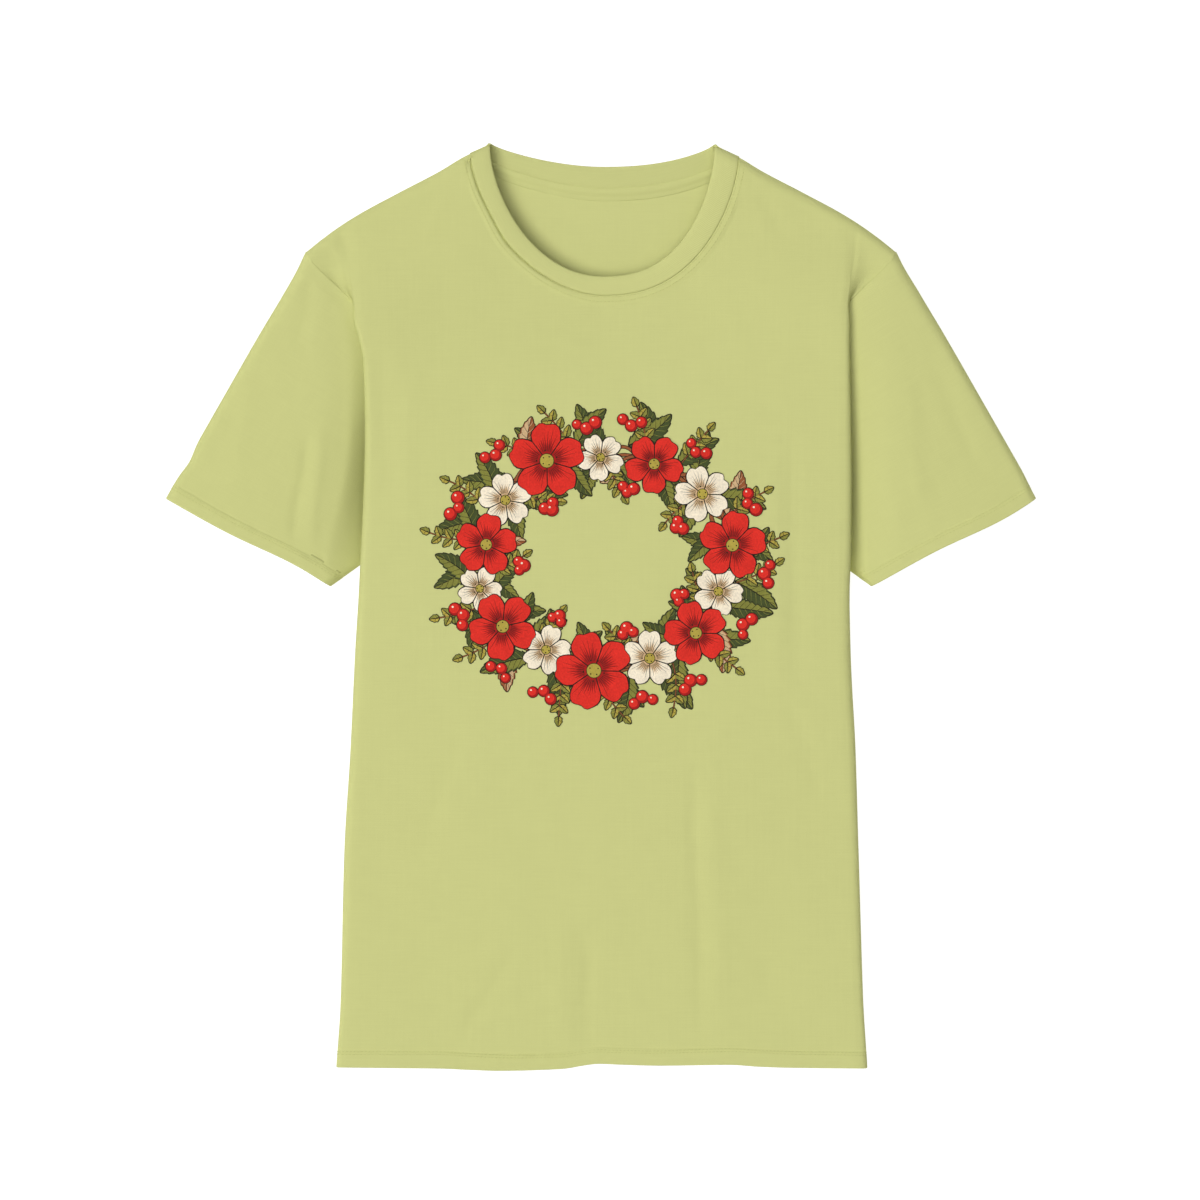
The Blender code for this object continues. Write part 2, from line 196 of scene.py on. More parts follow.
# The sleeve is pressed flatter where the front folds over it: how widely beside the fold and by
# how much, by how far up the shirt. Then the power by which it eases off beside the fold, how far
# from the seam it starts, and between which heights it ends.
PRESS_WIDTH = {
    -1: mm([(20, 34), (46, 27), (70, 23), (102, 17), (134, 14), (166, 12), (220, 9)]),
    1: mm([(20, 18), (50, 13), (102, 10), (220, 9)]),
}
PRESS_DEPTH = {
    -1: mm([(20, 13), (70, 14.5), (102, 13), (134, 9.4), (166, 5.5), (220, 2.2)]),
    1: mm([(20, 6.5), (102, 5.5), (134, 4.5), (166, 3), (220, 0.8)]),
}
PRESS_POWER = 1.6
PRESS_START = 0.02
PRESS_ENDS = (0.255, 0.225)

# How finely each sheet is divided
ROW_STEP = 0.0031
HEM_ROWS = mm([0, 1, 2.5, 4.5, 6.5, 8, 8.6, 9.2, 10.2, 10.8, 11.3, 11.8, 12.3, 13.2, 14.2, 15.2, 17])
ROLL_ANGLES = np.radians(np.linspace(0, 90, 11))
NECK_COLUMNS = 52
SHOULDER_COLUMNS = 16
STRIP_SHARES = np.concatenate([np.linspace(0, 1, 23)[1:-1], [0.997, 1.0]])
FIRST_RING = 0.03
SLEEVE_RINGS = 66
SLEEVE_COLUMNS = 64
BAND_TURNS = 150
HEM_BENDS = 6

# Colours, linear
JERSEY_COLOUR = (0.597, 0.61, 0.246)
THREAD_COLOUR = (0.56, 0.575, 0.225)
INKS = {
    "outline": (0.018, 0.014, 0.01),
    "red": (0.7, 0.03, 0.02),
    "deep_red": (0.36, 0.014, 0.012),
    "cream": (0.88, 0.78, 0.6),
    "tan": (0.59, 0.4, 0.215),
    "green": (0.062, 0.078, 0.024),
    "olive": (0.225, 0.225, 0.045),
    "mustard": (0.43, 0.34, 0.06),
    "brown": (0.29, 0.095, 0.035),
}

# Light: an even sky, a broad soft lamp overhead and a soft key from the upper left
SKY = 0.17
LAMPS = {
    "overhead": (1.65, math.radians(60), (-0.58, -0.04, 3.0)),
    "key": (1.18, math.radians(32), (-1.36, -0.12, 2.2)),
}

# Picture: the photograph's frame on the surface, and the lens
FRAME_SIDE = 0.96
FRAME_MIDDLE = (-0.0008, 0.006)
FRAME_HEIGHT = 0.01
LENS = 150.0
SENSOR = 36.0


# Curves and heights


def smooth(t):
    """Eases from 0 to 1, and holds past either end."""
    t = np.clip(t, 0.0, 1.0)
    return t * t * (3.0 - 2.0 * t)


def ease(value, start, end):
    """Eases from 0 at the start to 1 at the end."""
    return smooth((value - start) / (end - start))


def mix(a, b, share):
    return a + (b - a) * share


def vectors(*parts):
    """Points or directions from their coordinates."""
    return np.stack(parts, axis=-1)


def polar(reach, turn):
    return vectors(reach * np.cos(turn), reach * np.sin(turn))


def unit(ways):
    return ways / np.linalg.norm(ways, axis=-1, keepdims=True)


def line_ways(line):
    """The way ahead along a line of points in plan, and the way to its left."""
    ahead = unit(np.gradient(line, axis=0))
    return ahead, vectors(-ahead[:, 1], ahead[:, 0])


def bell(distance, width):
    """1 in the middle, easing out to 0 over about twice this width."""
    return np.exp(-((distance / width) ** 2))


def through(points, at):
    """The curve through a few (place, value) points, with no overshoot between them."""
    places, values = points.T
    steps = np.diff(values) / np.diff(places)
    before, after = steps[:-1], steps[1:]
    same_way = before * after > 0
    total = np.where(same_way, before + after, 1.0)
    inner = np.where(same_way, 2.0 * before * after / total, 0.0)
    slopes = np.concatenate([steps[:1], inner, steps[-1:]])
    i = np.clip(np.searchsorted(places, at) - 1, 0, len(places) - 2)
    span = places[i + 1] - places[i]
    t = np.clip((at - places[i]) / span, 0.0, 1.0)
    bend = span * t * (1.0 - t) * (slopes[i] * (1.0 - t) - slopes[i + 1] * t)
    return mix(values[i], values[i + 1], smooth(t)) + bend


def shoulder_y(x):
    return through(SHOULDER, np.abs(x))


def from_shoulder(x, y):
    """How far a point lies inside the shoulder's folded edge."""
    return np.maximum(SHOULDER_LEAN * (shoulder_y(x) - y), 0.0)


def rolled(distance, radius):
    """How far the cloth turns up or down from a fold's middle, this far inside the fold."""
    left = np.maximum(radius - distance, 0.0)
    return np.sqrt(np.maximum(radius**2 - left**2, 0.0))


def fold_x(y, side):
    return through(RIGHT_FOLD if side > 0 else LEFT_FOLD, y)


def shoulder_roll(inside):
    """The height of the front this far inside the shoulder's fold, before it rises further."""
    return FRONT_EDGE_Z + rolled(inside, EDGE_ROLL)


def front_rise(inside, top):
    """The height of the front this far inside the shoulder's fold, on its way up to a top."""
    rise = top - EDGE_ROLL - FRONT_EDGE_Z
    return shoulder_roll(inside) + rise * smooth(inside / SHOULDER_SLOPE)


def side_top(y, side):
    """The height of the front at the start of its side roll."""
    return front_rise(from_shoulder(fold_x(y, side), y), through(SIDE_TOP, y))


def front_roll(y, side):
    """The radius of the front's side roll."""
    return np.maximum((side_top(y, side) - through(TUCK_TOP, y)) / 2, LEAST_ROLL)


def front_edge(y, side):
    """Where the front's side roll starts."""
    return fold_x(y, side) - front_roll(y, side)


def front_height(x, y):
    """The height of the front's outer face between its side rolls."""
    reach = np.where(x > 0, front_edge(y, 1), front_edge(y, -1))
    crown = through(CROWN, y) * np.maximum(1.0 - (x / reach) ** 2, 0.0)
    return front_rise(from_shoulder(x, y), through(SIDE_TOP, y) + crown)


def back_height(x, y):
    """The height of the back's outer face, which lies on the surface inside its edges."""
    return EDGE_ROLL - rolled(from_shoulder(x, y), EDGE_ROLL)


def neck_point(turn, half, curve, gap=0.0):
    """A point of a neck curve, from the right shoulder (0) round the middle to the left (pi)."""
    low, left, right, down, drawn = curve
    side = np.sign(np.cos(turn))
    reach = np.abs(np.cos(turn))
    along = reach ** (2 / np.where(side < 0, left, right)) * side
    drawn = drawn * (side < 0)
    top = shoulder_y(NECK_MIDDLE + half * side + drawn)
    y = mix(top, low - gap, np.sin(turn) ** (2 / down))
    return NECK_MIDDLE + (half + gap) * along + drawn * ease(reach, *DRAWN_SHARES), y


# Panels


def top_edge(share, curve, corner):
    """A panel's top edge: left corner, left shoulder, neck seam, right shoulder, right corner."""
    side = np.where(share < 0.5, -1.0, 1.0)
    across = np.abs(2 * share - 1)
    turn = np.pi / 2 * (1 - side * np.clip(across / NECK_SHARE, 0, 1))
    neck_x, neck_y = neck_point(turn, SEAM_HALF, curve, NECK_GAP)
    along = np.clip((across - NECK_SHARE) / (1 - NECK_SHARE), 0, 1)
    shoulder_x = mix(neck_x, side * corner, along)
    return shoulder_x, np.where(along > 0, shoulder_y(shoulder_x), neck_y)


def panel_plan(u, v, hem, neck, side_edge, corner):
    """The place in plan of the panel's grid: u across, v from the hem to the top edge."""
    top_x, top_y = top_edge(u, neck, corner)
    side_y = mix(LOWEST_HEM, shoulder_y(np.array(corner)), v)
    share = mix(u, (top_x / corner + 1) / 2, v)
    left, right = side_edge(side_y, -1), side_edge(side_y, 1)
    low_x = mix(-left[:1], right[:1], u)
    return mix(-left, right, share), mix(through(hem, low_x) + HEM_FOLD, top_y, v)


def back_roll(y):
    return (through(TUCK_TOP, y) - GAP) / 2


def back_open(y):
    """0 where the back's side is tucked in, 1 where it lies open as the armhole's edge."""
    return smooth(y / BACK_TUCK_TOP)


def back_edge(y, side):
    tucked = fold_x(y, side) - back_roll(y)
    armhole = through(SEAM, y) - ARMHOLE_MARGIN
    return mix(tucked, armhole, back_open(y))


def tucked_strip(share, edge, radius, seam, low, high):
    """A side roll from one height to another, then the tuck that runs in to the seam."""
    tuck = np.maximum(edge - seam, 0.0)
    arc = np.pi * radius
    along = share * (arc + tuck)
    angle = np.minimum(along, arc) / radius
    x = edge + radius * np.sin(angle) - np.maximum(along - arc, 0.0)
    return x, mix(low, high, (1 - np.cos(angle)) / 2)


def dropped(y, share, drop):
    """The height of a side strip's row, which drops on its way out along the shoulder."""
    most, *heights = drop
    return y - most * ease(y, *heights) * share


def along_shoulder(start_y, share, side):
    """The height of the front's strip rows, of which the highest follow the shoulder's fold."""
    below = shoulder_y(front_edge(start_y, side)) - start_y
    level = dropped(start_y, share, FRONT_STRIP_DROP)
    y = level
    for _ in range(4):
        x = mix(front_edge(y, side), through(SEAM, y), share)
        y = mix(shoulder_y(x) - below, level, smooth(below / FOLLOWS_SHOULDER))
    return y


def front_strip(share, y, side):
    """One side of the front, from its roll to the armhole or side seam."""
    y = along_shoulder(y, share, side)
    edge = front_edge(y, side)
    seam = through(SEAM, y) - SEAM_GAP / 2
    top = side_top(y, side)
    tuck_x, tuck_z = tucked_strip(share, edge, front_roll(y, side), seam, top, through(TUCK_TOP, y))
    open_x = mix(edge, seam, share)
    inside = from_shoulder(open_x, y)
    open_z = mix(front_height(open_x, y), shoulder_roll(inside), smooth(share))
    tucked = ease(y, *FOLD_OPENS)
    deep = ease(inside, VALLEY_START, VALLEY_FULL) * (1 - tucked)
    open_z = open_z - VALLEY[side] * deep * np.sin(np.pi * share)
    x = mix(open_x, tuck_x, tucked)
    x = x + (seam - x)[..., -1:] * share**3
    return side * x, y, mix(open_z, tuck_z, tucked)


def back_strip(share, y, side):
    """One side of the back: tucked below the armpit, flat out to the seam above it."""
    y = dropped(y, share, BACK_STRIP_DROP)
    edge = back_edge(y, side)
    seam = through(SEAM, y) - SEAM_GAP / 2
    tuck_top = 2 * back_roll(y)
    tuck_x, tuck_z = tucked_strip(share, edge, back_roll(y), seam, 0.0, tuck_top)
    flat_x = mix(edge, seam, share)
    opened = back_open(y)
    x = mix(tuck_x, flat_x, opened)
    return side * x, y, mix(tuck_z, back_height(flat_x, y), opened)


def panel_columns():
    """Shares across a panel: the neck's columns, with those of the shoulders on either side."""
    neck = NECK_SHARE * np.linspace(1, 0, NECK_COLUMNS)
    shoulder = np.linspace(1, NECK_SHARE, SHOULDER_COLUMNS, endpoint=False)
    half = np.concatenate([shoulder, neck]) / 2
    return np.concatenate([0.5 - half, 0.5 + half[-2::-1]])


def panel_rows():
    """Shares from the hem (0) to the top edge (1), closest in the hem and the shoulder's roll."""
    length = shoulder_y(np.array(MID_SHOULDER)) - LOWEST_HEM
    hem = HEM_ROWS / length
    last = 1 - EDGE_ROLL * (1 - np.cos(ROLL_ANGLES[::-1])) / SHOULDER_LEAN / length
    count = round((last[0] - hem[-1]) * length / ROW_STEP)
    return np.concatenate([hem[:-1], np.linspace(hem[-1], last[0], count, endpoint=False), last])


def panel_grid(hem, neck, side_edge, corner, height, strip):
    """All of a panel: its left strip, its middle and its right strip, as rows of points."""
    columns, rows = panel_columns()[None, :], panel_rows()[:, None]
    x, y = panel_plan(columns, rows, hem, neck, side_edge, corner)
    left = side_columns(strip, x[:, :1], y[:, :1], -1.0)[:, ::-1]
    right = side_columns(strip, x[:, -1:], y[:, -1:], 1.0)
    return np.concatenate([left, vectors(x, y, height(x, y)), right], axis=1)


def side_columns(strip, start_x, start_y, side):
    """A side strip's columns, from where the panel's middle ends out to its seam."""
    shares = STRIP_SHARES[None, :]
    x, y, z = strip(shares, start_y, side)
    shift = start_x - strip(0.0, start_y, side)[0]
    return vectors(x + shift * (1 - shares), y, z)


# Sleeves, neckband and tape


def patch(top, seam, tip, low, along, across):
    """One coordinate of a patch between the sleeve's top, seam, hem and underarm."""
    under = mix(seam[..., -1:], low, along)
    corner = mix(mix(seam[..., :1], tip, along), under, across)
    return mix(seam, mix(tip, low, across), along) + mix(top, under, across) - corner


def sleeve_plan(along, across, side):
    """The sleeve in plan: along from armhole to hem, across from top fold to underarm fold."""
    top_y = mix(SHOULDER_POINT_Y, SLEEVE_TIP[1], along)
    top = through(SLEEVE_TOP, top_y) + SEAM_GAP / 2 * (1 - along), top_y
    seam_y = mix(SHOULDER_POINT_Y, ARMPIT_Y, across)
    seam = through(SEAM, seam_y) + SEAM_GAP / 2, seam_y
    outer, inner = SLEEVE_HEM_WAVE[side]
    wave = mix(outer, inner, smooth(across)) * np.sin(2 * np.pi * across) * along**4
    place, width, depth = SLEEVE_DENT
    from_hem = (1 - along) * np.hypot(SLEEVE_TIP[0] - SEAM[-1][1], SHOULDER_POINT_Y - SLEEVE_TIP[1])
    let_out, start, end = SLEEVE_LET_OUT
    dent = depth * bell(from_hem - place, width)
    dent = dent if side < 0 else -let_out * smooth(along / start) * smooth((1 - along) / end)
    dent = dent * smooth(1 - across / SLEEVE_EDGE)
    x, y = [
        patch(top[k], seam[k], SLEEVE_TIP[k], SLEEVE_LOW[k], along, across)
        + (SLEEVE_OUT[k] * wave + SLEEVE_ACROSS[k] * dent)
        for k in (0, 1)
    ]
    return side * x, y


def sleeve_rings(over, side):
    """Shares from the armhole (0) to the hem (1), which keep their distances in the hem."""
    length = np.hypot(*np.subtract(sleeve_plan(1.0, over, side), sleeve_plan(0.0, over, side)))
    hem = 1 - HEM_ROWS[::-1, None] / length[SLEEVE_RINGS:]
    first = 1 - HEM_ROWS[-1] / length[:SLEEVE_RINGS]
    shares = np.linspace(0, 1, SLEEVE_RINGS, endpoint=False)
    shares[1] *= FIRST_RING
    return np.concatenate([first * shares[:, None], hem])


def sleeve_grid(side):
    """Rings from the armhole to the hem, each going out over the front and home under the back."""
    ring = np.linspace(0, 1, SLEEVE_RINGS + len(HEM_ROWS))[:, None]
    width = mix(ARMHOLE_DEPTH, CUFF_WIDTH, ring)
    start = mix(SLEEVE_ROLL, SLEEVE_HEM_ROLL, ring) * (1 - np.cos(ROLL_ANGLES[None, :])) / width
    middle = mix(start[:, -1:], 1 - start[:, -1:], np.linspace(0, 1, SLEEVE_COLUMNS)[None, 1:-1])
    over = np.clip(np.concatenate([start, middle, 1 - start[:, ::-1]], axis=1), 0, 1)
    along = sleeve_rings(over, side)
    radius = mix(SLEEVE_ROLL, SLEEVE_HEM_ROLL, along)
    x, y = sleeve_plan(along, over, side)
    edge = np.minimum(over, 1 - over) * width
    outside = np.abs(x) - fold_x(y, side)
    crown = SLEEVE_CROWN * np.sin(np.pi * over) * smooth(outside / SLEEVE_CROWN_START)
    front = radius + rolled(edge, radius) + crown
    back = radius - rolled(edge, radius)
    return np.concatenate([vectors(x, y, front), vectors(x, y, back)[:, -2:0:-1]], axis=1)


def tape_grid():
    """The tape over the back neck seam, on the inner face of the back."""
    turn = np.radians(np.linspace(*TAPE_TURNS, BAND_TURNS))
    seam_x, seam_y = neck_point(turn, SEAM_HALF, BACK_SEAM)
    below, raised = TAPE_ROWS.T[:, :, None]
    x = np.broadcast_to(seam_x, (len(TAPE_ROWS), len(turn)))
    y = seam_y - below
    return vectors(x, y, back_height(x, y) + JERSEY + TAPE + raised)


# Each layer of the folded rib, from the sewn edge over to the free edge and back underneath:
# its share across the band, and how far above or below its outer face it lies (mm)
BAND_PROFILE = [
    (0, 0.2), (0.03, 0.6), (0.12, 0.9), (0.3, 1), (0.5, 1), (0.7, 0.9), (0.86, 0.7), (0.95, 0.3),
    (0.99, -0.1), (1, -0.5), (0.985, -0.9), (0.93, -1.3), (0.75, -1.4), (0.5, -1.4), (0.25, -1.4),
    (0.04, -1.4), (-0.02, -1.2),
]
BAND_BACK_BULGE = 0.0011

# How far the free edge rises at the shoulders, and over how much of its turn, front and back
FRONT_PEAK = (0.0013, 0.1)
BACK_PEAK = (0.0015, 0.45)


def band_side(turn, seam, free, height, lift, outside):
    """One side of the band: outside is 1 for the front, whose outer face shows, and -1 behind."""
    seam_x, seam_y = neck_point(turn, SEAM_HALF, seam)
    free_x, free_y = neck_point(turn, FREE_HALF, free)
    share, raised = np.array(BAND_PROFILE).T
    raised = mm(raised) - (0 if outside > 0 else BAND_BACK_BULGE)
    x = mix(seam_x[:, None], free_x[:, None], share)
    rise, spread = FRONT_PEAK if outside > 0 else BACK_PEAK
    peak = bell(np.sin(turn)[:, None], spread) * np.maximum(share, 0) ** 4
    y = mix(seam_y[:, None], free_y[:, None], share) + rise * peak
    z = height(x, y) + lift * share * np.sin(turn)[:, None]
    return vectors(x, y, z + outside * raised)


def neckband_grid():
    """The band as a ring of its folded profile."""
    turn = np.linspace(0, np.pi, BAND_TURNS)
    front = band_side(turn, FRONT_SEAM, FRONT_FREE, front_height, 0.0, 1.0)
    back = band_side(turn[-2:0:-1], BACK_SEAM, BACK_FREE, back_height, BACK_BAND_LIFT, -1.0)
    return np.concatenate([front, back])


# Relief: how far the real cloth lies above or below the plain form

# Unevenness: how high, how much it leans, how long its bumps are across and up, and its seed
UNEVENNESS = [
    (0.00035, 0.0, 0.034, 0.075, 11), (0.00012, 0.4, 0.014, 0.034, 12), (0.00004, 0.0, 0.006, 0.011, 13),
]

# Gathers along the shoulder: how high, how far inside its edge and over what width, then the same
SHOULDER_PUCKERS = (0.00028, 0.006, 0.007, 0.01, 0.016, 31)

# A soft fold sways by this share of its width, and fades out over this share of its length
FOLD_SWAY = 0.25
SWAY_LENGTH = 0.035
FOLD_FADE = 0.25

# Hem: the width of its grooves, then how far its puckers reach, how they lean, and their bumps
GROOVE_WIDTH = 0.0006
PUCKER_REACH = 0.006
PUCKER_LEAN = 0.35
PUCKER_BUMPS = (0.0042, 0.009, 21)

# The front's hem: its groove, its puckers at the least, and how much more, where and how widely
FRONT_GROOVE = 0.00028
FRONT_PUCKERS = (0.0001, 0.00022, -0.075, 0.075)

# The neck seam: its groove's depth, and more on the left; its width, and more on the left and on
# the right; and the doubled cloth beside it, its height and where that eases out
NECK_GROOVE = (0.0003, 0.0016)
NECK_GROOVE_WIDTH = (0.0009, 0.0005, 0.0011)
NECK_LEFT = 0.065
NECK_RIGHT = (0.075, 0.1)
NECK_RIDGE = 0.0006
NECK_RIDGE_ENDS = (0.0085, 0.005)

# The circle in which it is looked for: how far up from the seam's lowest point, and its radius
NECK_CIRCLE = (0.05, 0.16)

# The back has this share of the unevenness and lies this much lower, from this far inside the
# shoulder's edge
BACK_NOISE = (0.5, 0.0003, 0.02)


def ripple(x, y, size_x, size_y, seed):
    """Even noise from -1 to 1, in bumps about this long each way."""
    side = 64
    values = np.random.default_rng(seed).uniform(-1, 1, (side, side))
    across, up = x / size_x, y / size_y
    i, j = np.floor(across).astype(int), np.floor(up).astype(int)
    right, above = smooth(across - i), smooth(up - j)
    left, after = i % side, (i + 1) % side
    low, high = [mix(values[left, k % side], values[after, k % side], right) for k in (j, j + 1)]
    return mix(low, high, above)


def soft_folds(x, y, folds):
    height = np.zeros_like(x)
    for start_x, start_y, end_x, end_y, width, raised in folds:
        run = np.array([end_x - start_x, end_y - start_y])
        length = np.hypot(*run)
        run = run / length
        along = ((x - start_x) * run[0] + (y - start_y) * run[1]) / length
        away = (x - start_x) * run[1] - (y - start_y) * run[0]
        sway = FOLD_SWAY * width * ripple(along * length, away * 0, SWAY_LENGTH, 1.0, 5)
        fade = smooth(along / FOLD_FADE) * smooth((1 - along) / FOLD_FADE)
        height += raised * fade * bell(away - sway, width)
    return height


def cloth_noise(x, y):
    return sum(high * ripple(x + lean * y, y, *bumps) for high, lean, *bumps in UNEVENNESS)


def hem_relief(distance, along, puckers, groove, lift):
    """The doubled cloth of a hem, pressed in along its stitches and puckered between them."""
    lift = lift * ease(distance, *HEM_STEP)
    rows = zip(HEM_STITCHES, HEM_PRESS)
    grooves = sum(press * bell(distance - row, GROOVE_WIDTH) for row, press in rows)
    crumple = ripple(along + PUCKER_LEAN * distance, distance, *PUCKER_BUMPS)
    return lift - groove * grooves + puckers * bell(distance - HEM_STITCHES[0], PUCKER_REACH) * crumple


def shoulder_puckers(x, y):
    """Small gathers along the shoulder's folded edge."""
    high, inside, width, *bumps = SHOULDER_PUCKERS
    return high * bell(from_shoulder(x, y) - inside, width) * ripple(x, y, *bumps)


def steps_along(grid, axis, closed):
    if closed:
        return np.roll(grid, -1, axis) - np.roll(grid, 1, axis)
    return np.gradient(grid, axis=axis)


def outward(grid, loops, turned):
    """The direction that the outer face of the cloth faces, at each point."""
    facing = unit(np.cross(steps_along(grid, 1, loops), steps_along(grid, 0, False)))
    return -facing if turned else facing


def run_length(grid, axis):
    """How far each point lies along its row or column."""
    steps = np.linalg.norm(np.diff(grid, axis=axis), axis=-1)
    start = np.zeros_like(steps[:1] if axis == 0 else steps[:, :1])
    return np.concatenate([start, np.cumsum(steps, axis=axis)], axis=axis)


def with_hem(grid, loops, turned):
    """Adds the turned-up cloth of a hem before the grid's first row."""
    out = outward(grid, loops, turned)[0]
    down = unit(grid[0] - grid[1])
    angles = np.linspace(0, np.pi, HEM_BENDS + 1)[1:, None, None]
    bend = grid[0] + HEM_FOLD * (down * np.sin(angles) - out * (1 - np.cos(angles)))
    up = np.linspace(0, HEM_DEPTH, HEM_BENDS)[1:, None, None]
    inner = bend[-1] - down * up
    return np.concatenate([inner[::-1], bend[::-1], grid])


def turned_in(edge, facing):
    """The lines that a sewn edge runs on to as it turns down into its seam."""
    return [edge - facing * down for down in SEAM_LIP]


def with_side_lips(grid, turned):
    facing = outward(grid, False, turned)
    left = turned_in(grid[:, :1], facing[:, :1])
    right = turned_in(grid[:, -1:], facing[:, -1:])
    return np.concatenate([*left[::-1], grid, *right], axis=1)


def with_end_lip(grid, loops, turned):
    facing = outward(grid, loops, turned)
    return np.concatenate([grid, *turned_in(grid[-1:], facing[-1:])])


def run_on(values, run, first, last):
    """Carries values on past the columns first and last by how far the cloth itself runs."""
    values = values.copy()
    values[:, :first] = values[:, first : first + 1] - (run[:, first : first + 1] - run[:, :first])
    values[:, last:] = values[:, last - 1 : last] + (run[:, last:] - run[:, last - 1 : last])
    return values


def panel_places(grid, hem_rows):
    """Each point's place on the flat cloth, whose grain runs straight up the shirt."""
    side = (grid.shape[1] - len(panel_columns())) // 2
    u = run_on(grid[..., 0], run_length(grid, 1), side, grid.shape[1] - side)
    v = run_on(grid[..., 1].T, run_length(grid, 0).T, hem_rows, grid.shape[0]).T
    return vectors(u, v)


def run_places(grid):
    return vectors(run_length(grid, 1), run_length(grid, 0))


# Building meshes


def linked(name, data):
    made = bpy.data.objects.new(name, data)
    bpy.context.scene.collection.objects.link(made)
    return made


def new_object(name, points, faces, material, uv=None):
    mesh = bpy.data.meshes.new(name)
    mesh.from_pydata(points.reshape(-1, 3).tolist(), [], faces.tolist())
    mesh.shade_smooth()
    mesh.materials.append(material)
    if uv is not None:
        layer = mesh.uv_layers.new(name="cloth")
        corners = np.empty(len(mesh.loops), np.int32)
        mesh.loops.foreach_get("vertex_index", corners)
        layer.uv.foreach_set("vector", uv.reshape(-1, 2)[corners].ravel())
    return linked(name, mesh)


def joined(parts):
    """The points and the faces of several meshes as one."""
    points, faces = zip(*parts)
    starts = np.cumsum([0] + [len(part) for part in points[:-1]])
    return np.concatenate(points), np.concatenate([f + start for f, start in zip(faces, starts)])


def grid_faces(rows, columns, ring=False, loops=False, turned=False):
    r = np.arange(rows if ring else rows - 1)[:, None]
    c = np.arange(columns if loops else columns - 1)[None, :]
    above, right = (r + 1) % rows, (c + 1) % columns
    corners = [r * columns + c, r * columns + right, above * columns + right, above * columns + c]
    faces = np.stack(np.broadcast_arrays(*corners), axis=-1).reshape(-1, 4)
    return faces[:, ::-1] if turned else faces


def make_sheet(name, grid, places, thickness, material, ring=False, loops=False, turned=False):
    """A sheet of cloth whose outer face is the grid, thickened inwards."""
    faces = grid_faces(*grid.shape[:2], ring, loops, turned)
    sheet = new_object(name, grid, faces, material, places)
    thicken = sheet.modifiers.new("Thickness", "SOLIDIFY")
    thicken.thickness = thickness
    thicken.offset = -1.0
    return sheet


def surface_of(grid):
    faces = grid_faces(*grid.shape[:2])
    return BVHTree.FromPolygons(grid.reshape(-1, 3).tolist(), faces.tolist())


def on_top(surface, x, y):
    """The highest point of a surface over each place, and which way it faces there."""
    points, facing = [], []
    for place in zip(x.ravel(), y.ravel()):
        hit, normal = surface.ray_cast(Vector((*place, 1.0)), Vector((0, 0, -1)))[:2]
        points.append(hit or Vector((*place, 0.0)))
        facing.append(normal or Vector((0, 0, 1)))
    return np.array(points).reshape(*x.shape, 3), np.array(facing).reshape(*x.shape, 3)


# Stitches

STITCH_PITCH = 0.003
STITCH_LENGTH = 0.0024
THREAD = 0.00019
NECK_STITCHES = (0.0014, 0.005)

# A stitch's height in threads: at its middle, and how much lower its ends dip
STITCH_RISE = (1.15, 2.4)


def evenly(points, pitch):
    """Places along a line of points, this far apart."""
    runs = run_length(points, 0)
    at = np.arange(pitch / 2, runs[-1], pitch)
    return vectors(*[np.interp(at, runs, points[:, k]) for k in range(3)])


def stitches(points, facing):
    """One row of thread stitches: each is a short tube that dips into the cloth at its ends."""
    middle = evenly(points, STITCH_PITCH)
    ahead = unit(np.gradient(middle, axis=0))
    nearest = np.argmin(np.linalg.norm(points[None] - middle[:, None], axis=-1), axis=1)
    up = facing[nearest]
    side = unit(np.cross(ahead, up))
    along = np.linspace(-1, 1, 5)[None, :, None]
    lift = THREAD * (STITCH_RISE[0] - STITCH_RISE[1] * along**4)
    core = middle[:, None] + ahead[:, None] * along * STITCH_LENGTH / 2 + up[:, None] * lift
    angles = np.radians(np.arange(0, 360, 60))
    ring = np.cos(angles)[:, None] * side[:, None, None] + np.sin(angles)[:, None] * up[:, None, None]
    tubes = core[:, :, None] + THREAD * ring
    count, rings, sides = tubes.shape[:3]
    one = grid_faces(rings, sides, False, True, True)
    faces = one[None] + (np.arange(count) * rings * sides)[:, None, None]
    return tubes.reshape(-1, 3), faces.reshape(-1, 4)


def thread_object(name, rows, material):
    points, faces = joined([stitches(line, facing) for line, facing in rows])
    points[:, 2] = np.maximum(points[:, 2], 0.0)
    return new_object(name, points, faces, material)


# Materials

# How long each knit's loops are across and up
JERSEY_KNIT = (0.0009, 0.0007)
RIB_KNIT = (0.0014, 0.0007)

# Cloth and ink: each noise's bumps across and up, with its share; how much they tint the colour;
# the heights of the noises and the loops, and the depth in metres of both; roughness and specular
CLOTH_LOOK = {
    "grain": [(0.03, 0.0011, 0.5), (0.0011, 0.04, 0.3), (0.012, 0.012, 0.2)],
    "contrast": 0.1,
    "heights": (0.8, 0.6),
    "depth": 0.00016,
    "finish": (0.95, 0.08),
}
INK_LOOK = {
    "grain": [(0.0013, 0.0017, 0.6), (0.011, 0.014, 0.4)],
    "contrast": 0.9,
    "heights": (0.0, 1.0),
    "depth": 0.00005,
    "finish": (0.85, 0.15),
}
THREAD_FINISH = (0.8, 0.15)


def add_node(tree, kind, inputs, **settings):
    node = tree.nodes.new(kind)
    for name, value in settings.items():
        setattr(node, name, value)
    for key, value in inputs.items():
        if isinstance(value, bpy.types.NodeSocket):
            tree.links.new(value, node.inputs[key])
        else:
            node.inputs[key].default_value = value
    return node


def calc(tree, operation, *values):
    return add_node(tree, "ShaderNodeMath", dict(enumerate(values)), operation=operation).outputs[0]


